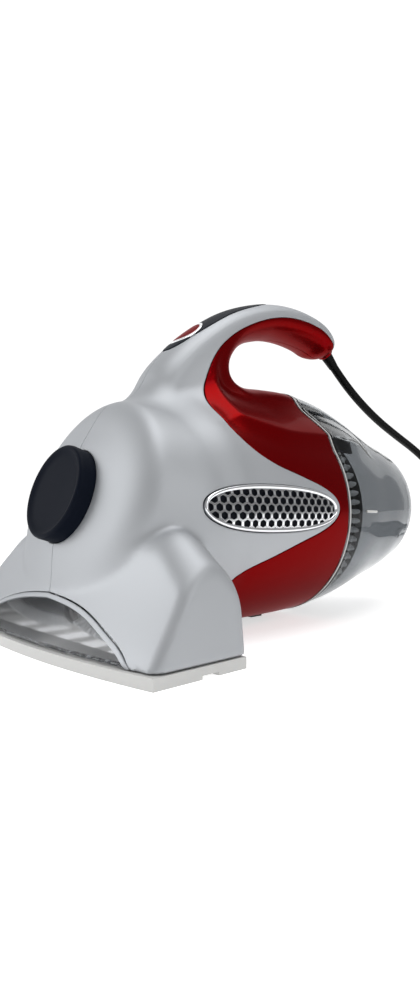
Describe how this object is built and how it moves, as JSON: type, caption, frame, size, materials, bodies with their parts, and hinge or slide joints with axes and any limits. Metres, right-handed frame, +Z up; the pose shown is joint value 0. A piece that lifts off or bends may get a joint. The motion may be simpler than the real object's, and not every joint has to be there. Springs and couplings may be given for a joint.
{
  "type": "handheld vacuum",
  "caption": "Corded hand vacuum with a wide powered brush nozzle, front hose port, looped handle, oval side vents and a clear slide-off dust cup over a pleated filter",
  "frame": {"origin": "on the surface it stands on, under the middle of the body (bottom centre of its bounding box without the free cord)", "axes": "+Z up, nozzle faces -Y, dust cup points to +Y, +X is to the right when facing the nozzle"},
  "size_m": [0.2649, 0.5802, 0.213],
  "materials": {
    "silver_shell": "satin metallic",
    "red_shell": "gloss",
    "cap_plastic": "matte",
    "dark_plastic": "satin",
    "pad_plastic": "fine grain",
    "plate_plastic": "satin",
    "clear_plastic": "clear",
    "chrome_trim": "bright",
    "steel": "bright",
    "copper": "plain",
    "core_steel": "plain",
    "case_steel": "satin",
    "rubber": "matte",
    "paper": "pleated",
    "bristle": "tufted",
    "roll_plastic": "satin",
    "fan_plastic": "satin",
    "carbon": "matte",
    "cord_cover": "satin"
  },
  "bodies": {
    "vacuum": {"front_housing_left": "silver_shell", "front_housing_right": "silver_shell", "rear_housing_left": "red_shell", "rear_housing_right": "red_shell", "grip_pad": "pad_plastic", "button_bezel": "chrome_trim", "button_spring": "steel", "switch_body": "dark_plastic", "port_sleeve": "dark_plastic", "nozzle_window": "clear_plastic", "base_plate": "plate_plastic", "plate_screws": "steel", "housing_screws": "steel", "heel_pad": "rubber", "brush_bearing_left": "dark_plastic", "brush_bearing_right": "dark_plastic", "drive_belt": "rubber", "motor_core": "core_steel", "motor_case": "case_steel", "field_windings": "copper", "motor_frame_front": "case_steel", "motor_frame_rear": "case_steel", "motor_bearing_front": "steel", "motor_bearing_rear": "steel", "motor_mounts": "rubber", "carbon_brushes": "carbon", "brush_holders": "copper", "fan_housing": "fan_plastic", "dirt_duct": "dark_plastic", "motor_bulkhead": "dark_plastic", "filter_bulkhead": "dark_plastic", "cup_gasket": "rubber", "filter_frame": "dark_plastic", "pleated_filter": "paper", "filter_cap": "dark_plastic", "vent_grille_left": "chrome_trim", "vent_grille_right": "chrome_trim", "vent_screen_left": "dark_plastic", "vent_screen_right": "dark_plastic", "inner_cord": "cord_cover", "motor_leads": "cord_cover", "cord_gland": "red_shell", "power_cord": "cord_cover", "cord_coil": "cord_cover", "plug_body": "cord_cover", "plug_blades": "steel"},
    "rotor": {"motor_shaft": "steel", "motor_armature": "core_steel", "commutator": "copper", "impeller": "fan_plastic", "motor_pulley": "steel"},
    "brush_roll": {"brush_core": "roll_plastic", "brush_bristles": "bristle", "brush_axles": "steel"},
    "button": {"power_button": "red_shell"},
    "cup": {"dust_cup": "clear_plastic", "latch_spring": "steel"},
    "latch": {"cup_latch": "dark_plastic"},
    "hose_cap": {"port_cap": "cap_plastic", "port_seal": "rubber"}
  },
  "joints": [
    {"name": "motor_spin", "type": "hinge", "parent": "vacuum", "child": "rotor", "pos_m": [0, -0.053, 0.0675], "axis": [0, 1, 0], "continuous": true},
    {"name": "brush_spin", "type": "hinge", "parent": "vacuum", "child": "brush_roll", "pos_m": [0, -0.115, 0.017], "axis": [1, 0, 0], "continuous": true},
    {"name": "power_press", "type": "slide", "parent": "vacuum", "child": "button", "axis": [0, 0.6266, -0.7793], "range_m": [0, 0.002], "stiffness_N_per_m": 600, "deforming": ["button_spring"]},
    {"name": "cup_slide", "type": "slide", "parent": "vacuum", "child": "cup", "axis": [0, 1, 0], "range_m": [0, 0.08]},
    {"name": "latch_press", "type": "slide", "parent": "cup", "child": "latch", "axis": [0, 0, -1], "range_m": [0, 0.0025], "stiffness_N_per_m": 600, "deforming": ["latch_spring"]},
    {"name": "cap_pull", "type": "slide", "parent": "vacuum", "child": "hose_cap", "axis": [0, -0.9583, 0.2857], "range_m": [0, 0.03]}
  ],
  "couplings": [
    {"joint": "brush_spin", "follows": "motor_spin", "ratio": 0.5956}
  ]
}
